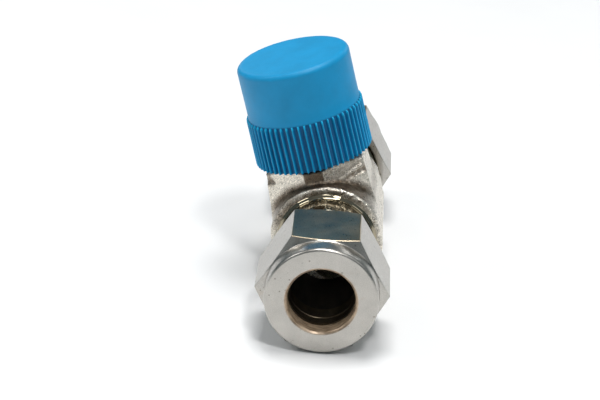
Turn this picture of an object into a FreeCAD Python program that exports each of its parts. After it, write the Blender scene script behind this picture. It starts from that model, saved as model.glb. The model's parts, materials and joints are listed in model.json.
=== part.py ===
import FreeCAD, Part
import Sketcher
import math
import os

# Straight-pattern needle valve with half-inch tube fittings at both ends.
# Every sub-part is drawn about the valve's own centre, where the stem axis crosses the flow axis:
# X across the valve, Y along the flow, Z up the stem. One placement then leans the stem and puts
# the origin at the mouth of the inlet fitting. All lengths are in millimetres.

Vector = FreeCAD.Vector

SHEET = "Sizes"
DIMENSIONS = [
    ("lean_angle", 15.8, "lean of the stem from the vertical, degrees"),
    ("half_length", 40.1, "stem axis to either nut face"),
    ("tube_bore", 6.45, "radius of every bore the half-inch tube passes through"),
    ("tube_stop", 17.2, "stem axis to the shoulder that stops the tube"),
    ("body_end", 33.4, "stem axis to the end of the threaded neck"),
    ("neck_radius", 9.4, "plain part of the neck"),
    ("neck_flare", 0.6, "flare where the neck meets the barrel"),
    ("cone_length", 3.5, "length of the cone that takes the front ferrule"),
    ("cone_angle", 20.0, "half angle of that cone, degrees"),
    ("thread_crest", 9.5, "crest radius of the 3/4-20 fitting thread"),
    ("thread_root", 8.8, "root radius of the fitting thread"),
    ("thread_pitch", 1.27, "20 threads to the inch"),
    ("thread_gap", 0.15, "radial gap between nut thread and body thread"),
    ("thread_tip", 0.125, "half the width of the flat at a fitting thread's root"),
    ("barrel_radius", 11.4, "round forged barrel"),
    ("barrel_half", 13.3, "stem axis to either end face of the barrel"),
    ("barrel_edge", 0.6, "bevel round the barrel's end faces"),
    ("base_flat", 9.75, "depth of the flat under the barrel"),
    ("boss_half_flat", 10.95, "half the width across the boss flats at the flow axis"),
    ("boss_top", 14.1, "top of the boss"),
    ("boss_nose", 11.0, "stem axis to the small facet that cuts off the boss corner"),
    ("boss_draft", 4.0, "forging draft, degrees"),
    ("boss_chamfer", 10.0, "inner radius of the chamfer on top of the boss"),
    ("passage_radius", 3.0, "inlet and outlet passages"),
    ("passage_offset", 3.4, "height of the two passages from the flow axis"),
    ("orifice_radius", 2.4, "orifice below the seat"),
    ("seat_height", 0.3, "top of the orifice"),
    ("seat_rise", 1.04, "height of the conical seat"),
    ("seat_flare", 0.6, "how far the conical seat opens"),
    ("chamber_radius", 5.0, "chamber round the stem tip"),
    ("gasket_seat", 6.7, "ledge under the bonnet gasket"),
    ("gasket_height", 0.5, "thickness of the bonnet gasket"),
    ("bonnet_socket", 7.0, "radius of the bonnet socket"),
    ("bonnet_flats", 16.6, "bonnet hexagon across flats"),
    ("bonnet_hexagon", 4.0, "height of the bonnet hexagon"),
    ("bonnet_radius", 7.5, "bonnet above its hexagon"),
    ("bonnet_top", 24.0, "top of the bonnet"),
    ("guide_radius", 2.5, "bore that guides the lower stem"),
    ("slot_half", 0.68, "half the width of the slot that stops the pin turning"),
    ("slot_reach", 4.2, "half the length of that slot"),
    ("slot_top", 15.2, "top of that slot"),
    ("gland_floor", 15.6, "floor of the packing chamber"),
    ("gland_radius", 4.6, "packing chamber in the bonnet"),
    ("lower_gland_top", 16.6, "top of the lower gland"),
    ("packing_low", 16.65, "underside of the first packing ring"),
    ("packing_height", 0.88, "height of one packing ring"),
    ("packing_step", 0.92, "one packing ring to the next"),
    ("upper_gland_low", 19.42, "underside of the upper gland"),
    ("bolt_low", 20.65, "underside of the packing bolt"),
    ("bolt_flats", 13.0, "packing bolt across flats"),
    ("bolt_top", 27.5, "top of the packing bolt"),
    ("stem_radius", 2.45, "lower stem"),
    ("stem_low", 0.8, "lower end of the lower stem, inside the tip"),
    ("stem_high", 23.15, "upper end of the lower stem"),
    ("spigot_radius", 1.3, "spigot that carries the stem tip"),
    ("tip_low", -1.3, "lower end of the stem tip"),
    ("tip_radius", 3.3, "largest radius of the stem tip"),
    ("tip_top", 2.8, "top of the stem tip"),
    ("pin_height", 9.4, "height of the anti-rotation pin"),
    ("pin_radius", 0.53, "radius of the anti-rotation pin"),
    ("pin_half", 3.8, "half the length of the anti-rotation pin"),
    ("neck_groove", 0.8, "radius of the groove for the retaining ring"),
    ("ring_low", 22.05, "underside of the retaining ring"),
    ("ring_high", 22.45, "top of the retaining ring"),
    ("ball_radius", 0.9, "thrust ball"),
    ("ball_height", 24.1, "height of the thrust ball's centre"),
    ("stem_pitch", 1.0, "stem thread pitch"),
    ("stem_crest", 3.2, "crest radius of the stem thread"),
    ("stem_root", 2.7, "root radius of the stem thread"),
    ("stem_gap", 0.12, "radial gap in the stem thread"),
    ("stem_thread_start", 20.0, "height the stem thread is wound from"),
    ("upper_stem_low", 21.3, "lower end of the upper stem"),
    ("upper_stem_top", 32.4, "top of the upper stem"),
    ("stem_flat", 1.8, "stem axis to the flat that drives the handle"),
    ("insert_low", 28.3, "underside of the handle insert"),
    ("insert_top", 31.6, "top of the handle insert"),
    ("insert_radius", 4.4, "radius over the insert's knurls"),
    ("knurl_count", 20, "grooves round the insert"),
    ("clip_low", 31.68, "underside of the handle clip"),
    ("clip_high", 32.0, "top of the handle clip"),
    ("handle_radius", 11.45, "plain cap of the handle"),
    ("handle_top", 35.35, "top of the handle"),
    ("handle_wall", 1.8, "thickness of the handle's top"),
    ("skirt_bottom", 14.4, "bottom edge of the fluted skirt"),
    ("skirt_top", 24.4, "top edge of the fluted skirt"),
    ("skirt_radius", 12.08, "radius over the ribs"),
    ("rib_depth", 0.5, "depth of the grooves between the ribs"),
    ("rib_count", 60, "number of ribs"),
    ("cavity_radius", 9.9, "hollow under the handle"),
    ("hub_radius", 5.7, "hub inside the handle"),
    ("hub_bore", 4.45, "bore of the hub, round the insert"),
    ("hub_low", 28.2, "underside of the hub"),
    ("web_half", 0.5, "half the thickness of a web beside the hub"),
    ("web_low", 28.6, "underside of the webs"),
    ("web_count", 6, "webs between hub and shell"),
    ("nut_flats", 22.225, "seven-eighths inch across flats"),
    ("nut_length", 17.3, "length of the nut"),
    ("nut_back_chamfer", 11.2, "inner radius of the chamfer behind the nut"),
    ("collar_radius", 10.9, "turned collar at the nut's tube end"),
    ("collar_length", 3.5, "length of the collar"),
    ("nut_thread_end", 32.3, "stem axis to the end of the nut's thread"),
    ("nut_relief_end", 33.8, "stem axis to the end of the nut's thread relief"),
    ("nut_seat", 35.6, "stem axis to the start of the nut's inner cone"),
    ("nut_seat_radius", 8.0, "radius at the start of the nut's inner cone"),
    ("front_low", 30.6, "thin end of the front ferrule"),
    ("front_shoulder", 33.4, "thick end of the front ferrule's cone"),
    ("front_high", 34.6, "back face of the front ferrule"),
    ("back_low", 34.3, "thin end of the back ferrule"),
    ("back_shoulder", 34.75, "step on the back ferrule"),
    ("back_high", 36.5, "back end of the back ferrule"),
    ("ferrule_wall", 1.19, "thickness of the front ferrule"),
]


class Size:
    """A length that carries both its number and its spreadsheet expression."""

    def __init__(self, value, text):
        self.value = value
        self.text = text

    def __add__(self, other):
        other = as_size(other)
        return Size(self.value + other.value, "(%s + %s)" % (self.text, other.text))

    def __sub__(self, other):
        other = as_size(other)
        return Size(self.value - other.value, "(%s - %s)" % (self.text, other.text))

    def __rsub__(self, other):
        return as_size(other) - self

    def __mul__(self, factor):
        factor = as_size(factor)
        return Size(self.value * factor.value, "(%s * %s)" % (self.text, factor.text))

    def __truediv__(self, divisor):
        divisor = as_size(divisor)
        return Size(self.value / divisor.value, "(%s / %s)" % (self.text, divisor.text))

    def __neg__(self):
        return self * -1.0

    __radd__ = __add__
    __rmul__ = __mul__


def as_size(value):
    if isinstance(value, Size):
        return value
    return Size(float(value), "(%.6f)" % value)


def cosine(angle):
    angle = as_size(angle)
    return Size(math.cos(math.radians(angle.value)), "cos(%s)" % angle.text)


def sine(angle):
    angle = as_size(angle)
    return Size(math.sin(math.radians(angle.value)), "sin(%s)" % angle.text)


doc = FreeCAD.newDocument("needle_valve")
sheet = doc.addObject("Spreadsheet::Sheet", SHEET)
size = {}
for row, (alias, number, note) in enumerate(DIMENSIONS, start=1):
    sheet.set("A%d" % row, alias)
    sheet.set("B%d" % row, str(number))
    sheet.set("C%d" % row, note)
    sheet.setAlias("B%d" % row, alias)
    size[alias] = Size(float(number), "%s.%s" % (SHEET, alias))
doc.recompute()


# ---------------------------------------------------------------- helpers

def bind(thing, name, value):
    """Set a property and tie it to the spreadsheet."""
    value = as_size(value)
    setattr(thing, name, value.value)
    thing.setExpression(name, value.text)


def new_body(label):
    """An empty body in the valve's leaning frame, origin at the inlet mouth."""
    body = doc.addObject("PartDesign::Body", label)
    body.Label = label
    turn = FreeCAD.Rotation(Vector(0, -1, 0), size["lean_angle"].value)
    body.Placement = FreeCAD.Placement(Vector(0, size["half_length"].value, 0), turn)
    body.setExpression("Placement.Base.y", size["half_length"].text)
    body.setExpression("Placement.Rotation.Angle", size["lean_angle"].text)
    return body


def origin_item(body, role):
    return next(item for item in body.Origin.OriginFeatures if item.Role == role)


def draw(body, name, role, points, offset=None):
    """A closed outline on one of the body's planes, every corner driven by the sheet."""
    outline = body.newObject("Sketcher::SketchObject", name)
    outline.AttachmentSupport = (origin_item(body, role), [""])
    outline.MapMode = "FlatFace"
    if offset is not None:
        offset = as_size(offset)
        outline.AttachmentOffset = FreeCAD.Placement(Vector(0, 0, offset.value), FreeCAD.Rotation())
        outline.setExpression("AttachmentOffset.Base.z", offset.text)
    corners = [(as_size(x), as_size(y)) for x, y in points]
    count = len(corners)
    for i in range(count):
        x0, y0 = corners[i]
        x1, y1 = corners[(i + 1) % count]
        start = Vector(x0.value, y0.value, 0)
        end = Vector(x1.value, y1.value, 0)
        outline.addGeometry(Part.LineSegment(start, end), False)
    for i in range(count):
        outline.addConstraint(Sketcher.Constraint("Coincident", i, 2, (i + 1) % count, 1))
    for i, (x, y) in enumerate(corners):
        for kind, value, axis in (("DistanceX", x, -2), ("DistanceY", y, -1)):
            fix_point(outline, i, 1, kind, value, axis)
    return outline


def fix_point(outline, item, point, kind, value, axis):
    """Hold one coordinate of a point at a size, or on the axis where it is zero."""
    if abs(value.value) < 1e-9:
        outline.addConstraint(Sketcher.Constraint("PointOnObject", item, point, axis))
    else:
        index = outline.addConstraint(Sketcher.Constraint(kind, -1, 1, item, point, value.value))
        outline.setExpression("Constraints[%d]" % index, value.text)


def turn_about(body, name, points, axis="Z_Axis", cut=False):
    """Revolve an outline of (radius, height) points, as material or as a cut."""
    role = "XZ_Plane" if axis == "Z_Axis" else "XY_Plane"
    outline = draw(body, name + "_outline", role, points)
    kind = "PartDesign::Groove" if cut else "PartDesign::Revolution"
    feature = body.newObject(kind, name)
    feature.Profile = outline
    feature.ReferenceAxis = (origin_item(body, axis), [""])
    feature.Angle = 360
    doc.recompute()
    return feature


def pad(body, name, role, points, length, offset=None, cut=False, reverse=False, taper=0):
    """Extrude an outline from its plane, as material or as a cut."""
    outline = draw(body, name + "_outline", role, points, offset)
    kind = "PartDesign::Pocket" if cut else "PartDesign::Pad"
    feature = body.newObject(kind, name)
    feature.Profile = outline
    bind(feature, "Length", length)
    feature.Reversed = reverse
    if taper:
        bind(feature, "TaperAngle", taper)
    doc.recompute()
    return feature


def drill(body, name, role, centre, radius, length, offset, reverse=False):
    """A round hole: circle on a plane, cut for a length."""
    outline = body.newObject("Sketcher::SketchObject", name + "_outline")
    outline.AttachmentSupport = (origin_item(body, role), [""])
    outline.MapMode = "FlatFace"
    offset = as_size(offset)
    outline.AttachmentOffset = FreeCAD.Placement(Vector(0, 0, offset.value), FreeCAD.Rotation())
    outline.setExpression("AttachmentOffset.Base.z", offset.text)
    x, y = as_size(centre[0]), as_size(centre[1])
    radius = as_size(radius)
    middle = Vector(x.value, y.value, 0)
    outline.addGeometry(Part.Circle(middle, Vector(0, 0, 1), radius.value), False)
    index = outline.addConstraint(Sketcher.Constraint("Radius", 0, radius.value))
    outline.setExpression("Constraints[%d]" % index, radius.text)
    fix_point(outline, 0, 3, "DistanceX", x, -2)
    fix_point(outline, 0, 3, "DistanceY", y, -1)
    feature = body.newObject("PartDesign::Pocket", name)
    feature.Profile = outline
    bind(feature, "Length", length)
    feature.Reversed = reverse
    doc.recompute()
    return feature


def thread(body, name, points, axis, pitch, length, reverse=False):
    """Cut a right-hand helical groove with the given section."""
    role = "XZ_Plane" if axis == "Z_Axis" else "XY_Plane"
    section = draw(body, name + "_section", role, points)
    feature = body.newObject("PartDesign::SubtractiveHelix", name)
    feature.Profile = section
    feature.ReferenceAxis = (origin_item(body, axis), [""])
    feature.Mode = 0
    bind(feature, "Pitch", pitch)
    bind(feature, "Height", length)
    feature.Angle = 0
    feature.Growth = 0
    feature.LeftHanded = False
    feature.Reversed = reverse
    doc.recompute()
    return feature


def placed(label, kind, shift=(0, 0, 0), turn=None):
    """A Part primitive in the valve's leaning frame, moved by shift and then turned."""
    item = doc.addObject(kind, label)
    item.Label = label
    lean = FreeCAD.Rotation(Vector(0, -1, 0), size["lean_angle"].value)
    shift = [as_size(part) for part in shift]
    moved = lean.multVec(Vector(*[part.value for part in shift]))
    item.Placement = FreeCAD.Placement(
        moved + Vector(0, size["half_length"].value, 0),
        lean * turn if turn else lean)
    aside, along, above = shift
    item.setExpression("Placement.Base.x", (aside * cosine(size["lean_angle"])
                                            - above * sine(size["lean_angle"])).text)
    item.setExpression("Placement.Base.y", (along + size["half_length"]).text)
    item.setExpression("Placement.Base.z", (aside * sine(size["lean_angle"])
                                            + above * cosine(size["lean_angle"])).text)
    if turn is None:
        item.setExpression("Placement.Rotation.Angle", size["lean_angle"].text)
    return item


def repeat(body, label, feature, count):
    """Repeat a feature round the stem axis."""
    pattern = body.newObject("PartDesign::PolarPattern", label)
    pattern.Originals = [feature]
    pattern.Axis = (origin_item(body, "Z_Axis"), [""])
    pattern.Angle = 360
    pattern.Occurrences = int(count.value)
    pattern.setExpression("Occurrences", count.text)
    body.Tip = pattern
    doc.recompute()
    return pattern


def hexagon(across_flats, first_corner):
    """Corner points of a regular hexagon."""
    reach = across_flats / math.sqrt(3.0)
    angles = [as_size(first_corner) + 60.0 * k for k in range(6)]
    return [(reach * cosine(angle), reach * sine(angle)) for angle in angles]


def ring(label, inner, outer, low, high):
    """A plain turned ring about the stem axis."""
    body = new_body(label)
    turn_about(body, label + "_ring", [(inner, low), (outer, low), (outer, high), (inner, high)])
    return body


# ---------------------------------------------------------------- fitting thread

thread_slope = math.tan(math.radians(30))
nut_thread_root = size["thread_crest"] + size["thread_gap"]
nut_thread_crest = size["thread_root"] + size["thread_gap"]


def groove_section(side, deep, shallow, start):
    """V-groove section of the fitting thread; side is -1 at the inlet and +1 at the outlet."""
    depth = (shallow - deep) if shallow.value > deep.value else (deep - shallow)
    narrow = size["thread_tip"]
    wide = narrow + depth * thread_slope
    return [
        (deep * -side, (start - narrow) * side),
        (shallow * -side, (start - wide) * side),
        (shallow * -side, (start + wide) * side),
        (deep * -side, (start + narrow) * side),
    ]


def along_flow(side, points):
    """Outline points (radius, reach from the stem axis) on the inlet or outlet side."""
    return [(radius, as_size(reach) * side) for radius, reach in points]


ENDS = (("inlet", -1), ("outlet", 1))
thread_start = size["body_end"] + 1.5


# ---------------------------------------------------------------- valve body

half_flat = size["boss_half_flat"]
nose = size["boss_nose"]
corner_reach = half_flat / math.cos(math.radians(30))
side_edge = corner_reach / 2.0
nose_half = (corner_reach - nose) * math.tan(math.radians(60))
boss_outline = [
    (half_flat, -side_edge), (half_flat, side_edge), (nose_half, nose), (-nose_half, nose),
    (-half_flat, side_edge), (-half_flat, -side_edge), (-nose_half, -nose), (nose_half, -nose),
]

valve_body = new_body("valve_body")
boss_top = size["boss_top"]
boss_chamfer = size["boss_chamfer"]
pad(valve_body, "boss", "XY_Plane", boss_outline, boss_top, taper=-size["boss_draft"])
turn_about(valve_body, "boss_top_chamfer", [
    (boss_chamfer, boss_top),
    (boss_chamfer + 3.0, boss_top - 1.75),
    (boss_chamfer + 3.0, boss_top + 0.5),
    (boss_chamfer, boss_top + 0.5),
], cut=True)

body_end = size["body_end"]
tube_stop = size["tube_stop"]
barrel_radius = size["barrel_radius"]
barrel_half = size["barrel_half"]
barrel_edge = size["barrel_edge"]
neck_radius = size["neck_radius"]
neck_flare = size["neck_flare"]
thread_crest = size["thread_crest"]
thread_root = size["thread_root"]
half_outline = [
    (thread_crest - 0.6, body_end),
    (thread_crest, body_end - 0.6),
    (thread_crest, tube_stop + 1.4),
    (thread_root, tube_stop + 1.0),
    (thread_root, tube_stop + 0.5),
    (neck_radius, tube_stop),
    (neck_radius, barrel_half + 0.7),
    (neck_radius + neck_flare, barrel_half),
    (barrel_radius - barrel_edge, barrel_half),
    (barrel_radius, barrel_half - barrel_edge),
]
barrel_outline = [(0, -body_end)]
barrel_outline += along_flow(-1, half_outline)
barrel_outline += along_flow(1, half_outline)[::-1]
barrel_outline += [(0, body_end)]
turn_about(valve_body, "barrel", barrel_outline, axis="Y_Axis")

flat_span = barrel_half * 2.0 + 2.0
flat_start = -barrel_half - 1.0
pad(valve_body, "base_flat", "XZ_Plane",
    [(-12, -size["base_flat"]), (-12, -13), (12, -13), (12, -size["base_flat"])],
    flat_span, offset=flat_start, cut=True, reverse=True)
for name, side in (("left_side_flat", -1), ("right_side_flat", 1)):
    pad(valve_body, name, "XZ_Plane",
        [(half_flat * side, -6), (13 * side, -6), (13 * side, 6), (half_flat * side, 6)],
        flat_span, offset=flat_start, cut=True, reverse=True)

tube_bore = size["tube_bore"]
cone_start = body_end - size["cone_length"]
cone_mouth = tube_bore + size["cone_length"] * sine(size["cone_angle"]) / cosine(size["cone_angle"])
for end, side in ENDS:
    turn_about(valve_body, end + "_socket", along_flow(side, [
        (0, tube_stop - 2.0),
        (size["passage_radius"] + 0.6, tube_stop - 2.0),
        (tube_bore - 0.9, tube_stop),
        (tube_bore, tube_stop),
        (tube_bore, cone_start),
        (cone_mouth, body_end),
        (cone_mouth, body_end + 1.0),
        (0, body_end + 1.0),
    ]), axis="Y_Axis", cut=True)

seat_height = size["seat_height"]
seat_top = seat_height + size["seat_rise"]
gasket_seat = size["gasket_seat"]
turn_about(valve_body, "stem_chamber", [
    (0, -size["passage_offset"]),
    (size["orifice_radius"], -size["passage_offset"]),
    (size["orifice_radius"], seat_height),
    (size["orifice_radius"] + size["seat_flare"], seat_top),
    (size["chamber_radius"], seat_top),
    (size["chamber_radius"], gasket_seat),
    (size["bonnet_socket"], gasket_seat),
    (size["bonnet_socket"], boss_top + 1.0),
    (0, boss_top + 1.0),
], cut=True)
drill(valve_body, "inlet_passage", "XZ_Plane", (0, -size["passage_offset"]),
      size["passage_radius"], tube_stop, offset=-1.1, reverse=True)
drill(valve_body, "outlet_passage", "XZ_Plane", (0, size["passage_offset"]),
      size["passage_radius"], tube_stop - 1.0, offset=0)
for end, side in ENDS:
    thread(valve_body, end + "_thread",
           groove_section(side, thread_root, thread_crest + 0.1, thread_start),
           "Y_Axis", size["thread_pitch"], thread_start - tube_stop - 0.75, reverse=side > 0)


# ---------------------------------------------------------------- bonnet and packing

bonnet_low = gasket_seat + size["gasket_height"]
bonnet_plug = size["bonnet_socket"] - 0.1
bonnet_top = size["bonnet_top"]
bonnet_radius = size["bonnet_radius"]
hexagon_top = boss_top + size["bonnet_hexagon"]
gland_floor = size["gland_floor"]
gland_radius = size["gland_radius"]

ring("bonnet_gasket", size["chamber_radius"] + 0.3, bonnet_plug, gasket_seat, bonnet_low)

bonnet = new_body("bonnet")
pad(bonnet, "bonnet_hexagon", "XY_Plane", hexagon(size["bonnet_flats"], 30.0),
    size["bonnet_hexagon"], offset=boss_top)
turn_about(bonnet, "bonnet_hexagon_chamfer", [
    (8.6, hexagon_top),
    (11.0, hexagon_top - 1.4),
    (11.0, hexagon_top + 0.5),
    (8.6, hexagon_top + 0.5),
], cut=True)
turn_about(bonnet, "bonnet_barrel", [
    (0, bonnet_low),
    (bonnet_plug - 0.5, bonnet_low),
    (bonnet_plug, bonnet_low + 0.5),
    (bonnet_plug, boss_top - 0.8),
    (bonnet_plug - 0.5, boss_top),
    (bonnet_plug - 0.5, boss_top + 1.0),
    (bonnet_radius, boss_top + 1.0),
    (bonnet_radius, bonnet_top - 0.6),
    (bonnet_radius - 0.6, bonnet_top),
    (0, bonnet_top),
])
turn_about(bonnet, "bonnet_bore", [
    (0, bonnet_low - 1.0),
    (3.7, bonnet_low - 1.0),
    (3.7, bonnet_low + 1.4),
    (size["guide_radius"], bonnet_low + 1.4),
    (size["guide_radius"], gland_floor),
    (gland_radius, gland_floor),
    (gland_radius, bonnet_top + 1.0),
    (0, bonnet_top + 1.0),
], cut=True)
slot_half = size["slot_half"]
slot_reach = size["slot_reach"]
pad(bonnet, "pin_slot", "XY_Plane",
    [(-slot_half, -slot_reach), (slot_half, -slot_reach),
     (slot_half, slot_reach), (-slot_half, slot_reach)],
    size["slot_top"] - bonnet_low, offset=bonnet_low, cut=True, reverse=True)

stem_radius = size["stem_radius"]
gland_bore = stem_radius + 0.08
gland_outer = gland_radius - 0.05
ring("lower_gland", gland_bore, gland_outer, gland_floor + 0.02, size["lower_gland_top"])
ring("upper_gland", gland_bore, gland_outer, size["upper_gland_low"], size["bolt_low"] - 0.05)

packing_shapes = []
for number in range(3):
    low = size["packing_low"] + size["packing_step"] * number
    tube = doc.addObject("Part::Cylinder", "packing_outer_%d" % (number + 1))
    bind(tube, "Radius", gland_radius - 0.03)
    bind(tube, "Height", size["packing_height"])
    tube.Placement = FreeCAD.Placement(Vector(0, 0, low.value), FreeCAD.Rotation())
    tube.setExpression("Placement.Base.z", low.text)
    core = doc.addObject("Part::Cylinder", "packing_bore_%d" % (number + 1))
    bind(core, "Radius", stem_radius + 0.03)
    bind(core, "Height", size["packing_height"] + 0.2)
    core.Placement = FreeCAD.Placement(Vector(0, 0, low.value - 0.1), FreeCAD.Rotation())
    core.setExpression("Placement.Base.z", (low - 0.1).text)
    cut = doc.addObject("Part::Cut", "packing_ring_%d" % (number + 1))
    cut.Base = tube
    cut.Tool = core
    packing_shapes.append(cut)
packing = placed("packing_rings", "Part::Compound")
packing.Links = packing_shapes

bolt_low = size["bolt_low"]
bolt_top = size["bolt_top"]
bolt_head = bonnet_top + 0.2
bolt_shank = gland_radius - 0.08
bolt_crest = size["stem_root"] + size["stem_gap"]
bolt_root = size["stem_crest"] + size["stem_gap"]
stem_start = size["stem_thread_start"]


def stem_groove(deep, shallow, height):
    """Groove section of the stem thread."""
    return [(deep, height - 0.13), (shallow, height - 0.45), (shallow, height + 0.45), (deep, height + 0.13)]


packing_bolt = new_body("packing_bolt")
pad(packing_bolt, "packing_bolt_head", "XY_Plane", hexagon(size["bolt_flats"], 0.0),
    bolt_top - bolt_head, offset=bolt_head)
turn_about(packing_bolt, "packing_bolt_chamfer", [
    (6.3, bolt_top),
    (8.2, bolt_top - 1.0),
    (8.2, bolt_top + 0.5),
    (6.3, bolt_top + 0.5),
], cut=True)
turn_about(packing_bolt, "packing_bolt_shank", [
    (2.0, bolt_low),
    (bolt_shank - 0.32, bolt_low),
    (bolt_shank, bolt_low + 0.35),
    (bolt_shank, bolt_head + 0.4),
    (2.0, bolt_head + 0.4),
])
turn_about(packing_bolt, "packing_bolt_bore", [
    (0, bolt_low - 0.65),
    (bolt_crest + 0.6, bolt_low - 0.65),
    (bolt_crest + 0.6, bolt_low + 0.15),
    (bolt_crest, bolt_low + 0.75),
    (bolt_crest, bolt_top - 0.6),
    (bolt_crest + 0.5, bolt_top),
    (bolt_crest + 0.5, bolt_top + 1.0),
    (0, bolt_top + 1.0),
], cut=True)
thread(packing_bolt, "packing_bolt_thread",
       stem_groove(bolt_root, bolt_crest - 0.08, stem_start + size["stem_pitch"] / 2.0),
       "Z_Axis", size["stem_pitch"], 8.5)


# ---------------------------------------------------------------- stem

stem_low = size["stem_low"]
stem_high = size["stem_high"]
spigot = size["spigot_radius"]
tip_low = size["tip_low"]
tip_top = size["tip_top"]
tip_radius = size["tip_radius"]
pin_height = size["pin_height"]
ring_low = size["ring_low"]
ring_high = size["ring_high"]
neck_groove = size["neck_groove"]

tip = new_body("stem_tip")
turn_about(tip, "tip_cone", [
    (0, tip_low),
    (size["orifice_radius"] - 1.25, tip_low),
    (size["orifice_radius"] - 0.05, seat_height + 0.05),
    (tip_radius - 0.3, seat_height + 1.2),
    (tip_radius, seat_height + 1.5),
    (tip_radius, tip_top - 0.2),
    (tip_radius - 0.2, tip_top),
    (0, tip_top),
])
turn_about(tip, "tip_bore", [
    (0, stem_low - 0.2),
    (spigot + 0.02, stem_low - 0.2),
    (spigot + 0.02, tip_top + 0.7),
    (0, tip_top + 0.7),
], cut=True)

lower_stem = new_body("lower_stem")
turn_about(lower_stem, "lower_stem_shaft", [
    (0, stem_low),
    (spigot, stem_low),
    (spigot, tip_top + 0.05),
    (stem_radius - 0.3, tip_top + 0.05),
    (stem_radius, tip_top + 0.35),
    (stem_radius, 20.6),
    (stem_radius - 0.3, 20.9),
    (1.2, 20.9),
    (1.2, ring_low - 0.1),
    (neck_groove, ring_low - 0.1),
    (neck_groove, ring_high + 0.1),
    (1.2, ring_high + 0.1),
    (1.2, stem_high - 0.25),
    (1.0, stem_high),
    (0, stem_high),
])
drill(lower_stem, "pin_hole", "XZ_Plane", (0, pin_height), size["pin_radius"] + 0.02, 8.0,
      offset=-4.0, reverse=True)

pin = placed("anti_rotation_pin", "Part::Cylinder", (0, size["pin_half"], pin_height),
             FreeCAD.Rotation(Vector(1, 0, 0), 90))
bind(pin, "Radius", size["pin_radius"])
bind(pin, "Height", size["pin_half"] * 2.0)

ball = placed("thrust_ball", "Part::Sphere", (0, 0, size["ball_height"]))
bind(ball, "Radius", size["ball_radius"])

retainer = ring("stem_retaining_ring", neck_groove + 0.15, 1.85, ring_low, ring_high)
pad(retainer, "retaining_ring_slit", "XY_Plane", [(0, -0.4), (4.0, -0.4), (4.0, 0.4), (0, 0.4)],
    2.0, offset=ring_low - 0.5, cut=True, reverse=True)

upper_low = size["upper_stem_low"]
upper_top = size["upper_stem_top"]
clip_low = size["clip_low"]
clip_high = size["clip_high"]
insert_low = size["insert_low"]
insert_top = size["insert_top"]
stem_crest = size["stem_crest"]
stem_root = size["stem_root"]

upper_stem = new_body("upper_stem")
turn_about(upper_stem, "upper_stem_shaft", [
    (0, upper_low),
    (stem_crest - 0.5, upper_low),
    (stem_crest, upper_low + 0.5),
    (stem_crest, insert_low - 0.4),
    (stem_root, insert_low - 0.1),
    (stem_radius, insert_low - 0.05),
    (stem_radius, clip_low - 0.03),
    (2.0, clip_low - 0.03),
    (2.0, clip_high + 0.05),
    (stem_radius, clip_high + 0.05),
    (stem_radius, upper_top - 0.15),
    (stem_radius - 0.2, upper_top),
    (0, upper_top),
])
turn_about(upper_stem, "upper_stem_bore", [
    (0, upper_low - 0.8),
    (1.3, upper_low - 0.8),
    (1.3, ring_low - 0.15),
    (1.95, ring_low - 0.15),
    (1.95, ring_high + 0.15),
    (1.3, ring_high + 0.15),
    (1.3, size["ball_height"] + 0.5),
    (0, size["ball_height"] + 1.3),
], cut=True)
thread(upper_stem, "upper_stem_thread", stem_groove(stem_root, stem_crest + 0.08, stem_start),
       "Z_Axis", size["stem_pitch"], 8.1)
stem_flat = size["stem_flat"]
pad(upper_stem, "upper_stem_flat", "XY_Plane",
    [(stem_flat, -4.0), (4.0, -4.0), (4.0, 4.0), (stem_flat, 4.0)],
    6.0, offset=insert_low, cut=True, reverse=True)


# ---------------------------------------------------------------- handle

insert_radius = size["insert_radius"]
insert = new_body("handle_insert")
turn_about(insert, "insert_barrel", [
    (0, insert_low),
    (insert_radius - 0.3, insert_low),
    (insert_radius, insert_low + 0.3),
    (insert_radius, insert_top - 0.3),
    (insert_radius - 0.3, insert_top),
    (0, insert_top),
])
drill(insert, "insert_bore", "XY_Plane", (0, 0), stem_radius + 0.04, 6.0,
      offset=insert_low - 0.8, reverse=True)
pad(insert, "insert_flat", "XY_Plane",
    [(stem_flat + 0.04, -2.0), (3.0, -2.0), (3.0, 2.0), (stem_flat + 0.04, 2.0)],
    insert_top - insert_low, offset=insert_low)
knurl = pad(insert, "knurl_groove", "XY_Plane",
            [(insert_radius - 0.25, 0), (insert_radius + 0.3, -0.4), (insert_radius + 0.3, 0.4)],
            5.0, offset=insert_low - 0.8, cut=True, reverse=True)
repeat(insert, "knurls", knurl, size["knurl_count"])

clip = ring("handle_clip", 2.05, 3.2, clip_low, clip_high)
pad(clip, "handle_clip_slit", "XY_Plane", [(0, -0.7), (4.0, -0.7), (4.0, 0.7), (0, 0.7)],
    2.0, offset=clip_low - 0.68, cut=True, reverse=True)

cap = size["handle_radius"]
handle_top = size["handle_top"]
ceiling = handle_top - size["handle_wall"]
cavity = size["cavity_radius"]
hub = size["hub_radius"]
skirt = size["skirt_radius"]
skirt_low = size["skirt_bottom"]
skirt_high = size["skirt_top"]

handle = new_body("handle")
turn_about(handle, "handle_shell", [
    (cavity, skirt_low),
    (skirt - 0.25, skirt_low),
    (skirt, skirt_low + 0.25),
    (skirt - 0.12, skirt_high - 0.4),
    (skirt - 0.4, skirt_high - 0.1),
    (cap, skirt_high),
    (cap, handle_top - 1.0),
    (cap - 0.13, handle_top - 0.5),
    (cap - 0.5, handle_top - 0.13),
    (cap - 1.0, handle_top),
    (0, handle_top),
    (0, ceiling),
    (size["hub_bore"], ceiling),
    (size["hub_bore"], size["hub_low"]),
    (hub, size["hub_low"]),
    (hub, ceiling - 0.6),
    (hub + 0.6, ceiling),
    (cavity - 0.6, ceiling),
    (cavity, ceiling - 0.6),
])
web_half = size["web_half"]
web = pad(handle, "web", "XY_Plane",
          [(hub - 0.3, -web_half), (cavity + 0.3, -web_half),
           (cavity + 0.3, web_half), (hub - 0.3, web_half)],
          ceiling + 0.3 - size["web_low"], offset=size["web_low"])
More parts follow.
